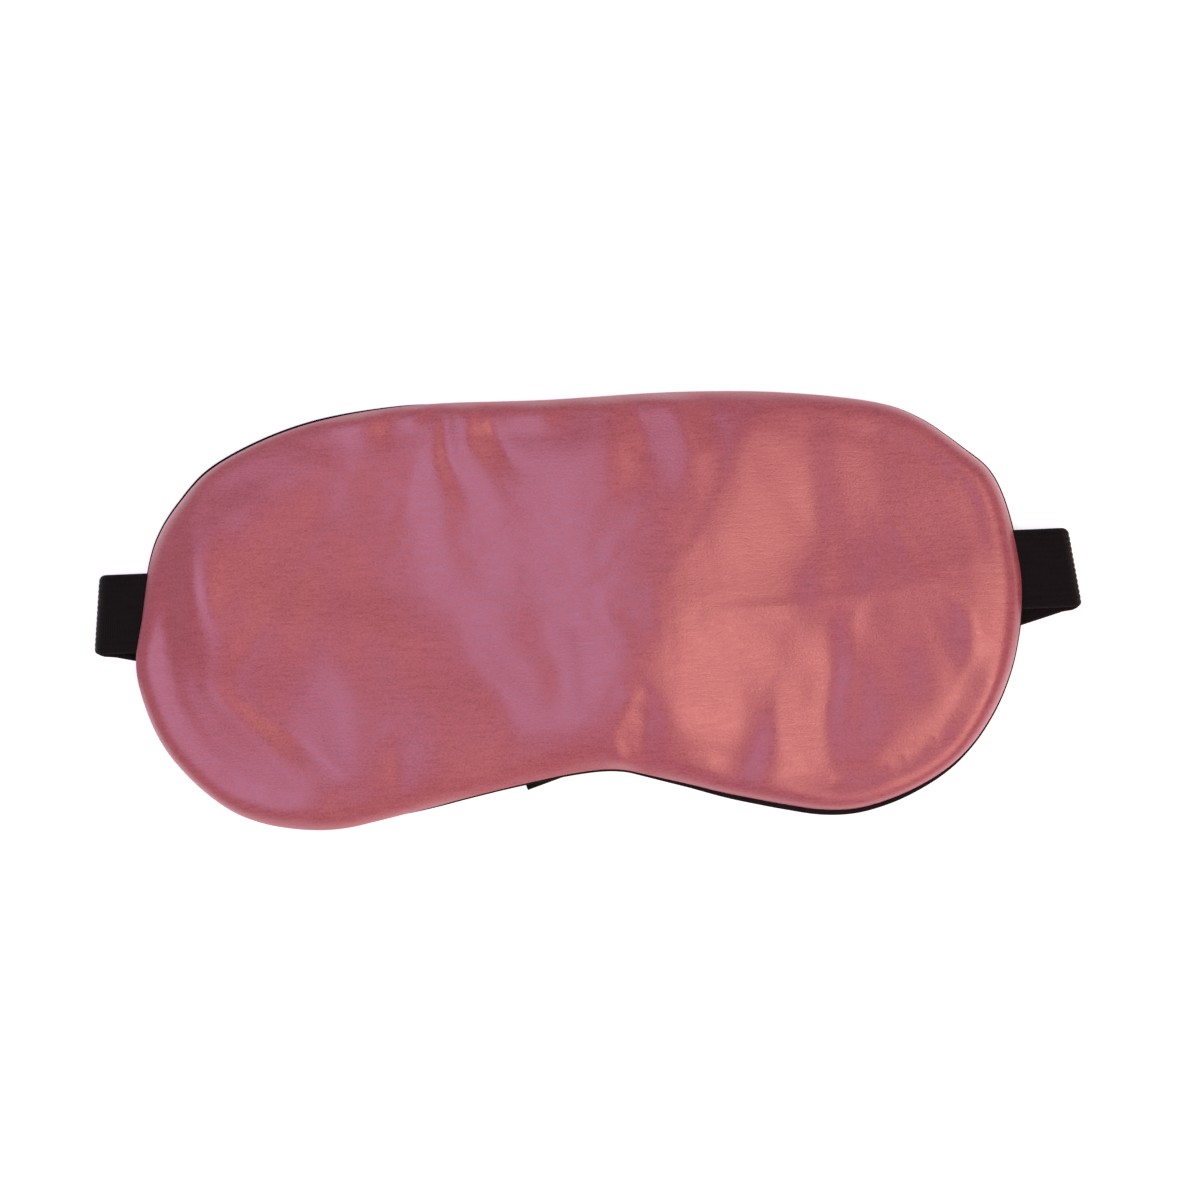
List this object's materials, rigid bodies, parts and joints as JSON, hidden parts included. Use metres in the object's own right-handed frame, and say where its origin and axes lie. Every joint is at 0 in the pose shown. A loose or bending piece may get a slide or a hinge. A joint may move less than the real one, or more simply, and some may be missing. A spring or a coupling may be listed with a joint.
{
  "type": "sleep eye mask",
  "caption": "Padded satin sleep eye mask with a nose notch, a black lining and an elastic head strap whose length is set by a plastic slider; it lies face up with the strap folded behind it.",
  "frame": {"origin": "on the table that the mask lies on, below the middle of the whole outline with the strap's creases included", "axes": "+X along the mask, towards its right end as seen from the satin front, +Y towards the forehead edge, +Z out of the satin front"},
  "size_m": [0.2368, 0.1013, 0.0129],
  "materials": {
    "satin": "satin weave, soft sheen",
    "lining": "plain woven, matt",
    "wadding": "fibre wadding",
    "interlining": "non-woven, matt",
    "elastic": "ribbed woven elastic",
    "black_thread": "polyester thread",
    "pink_thread": "polyester thread",
    "slider_plastic": "moulded, slightly glossy"
  },
  "bodies": {
    "strap": {"left_strap": "elastic", "right_strap": "elastic", "tail_stitches": "black_thread"},
    "mask": {"front_panel": "satin", "blackout_layer": "interlining", "padding": "wadding", "back_panel": "lining", "edge_seam": "black_thread", "closing_stitches": "pink_thread", "left_strap_anchor": "elastic", "right_strap_anchor": "elastic", "anchor_tacks": "black_thread"},
    "slider": {"slider": "slider_plastic", "left_strap_loop": "elastic", "loop_tack": "black_thread"}
  },
  "joints": [
    {"name": "strap_stretch", "type": "slide", "parent": "strap", "child": "mask", "axis": [0, 0, 1], "range_m": [0, 0.07]},
    {"name": "slider_slide", "type": "slide", "parent": "strap", "child": "slider", "axis": [0.9622, 0.2723, 0], "range_m": [-0.012, 0.018], "deforming": ["right_strap", "left_strap"]}
  ]
}
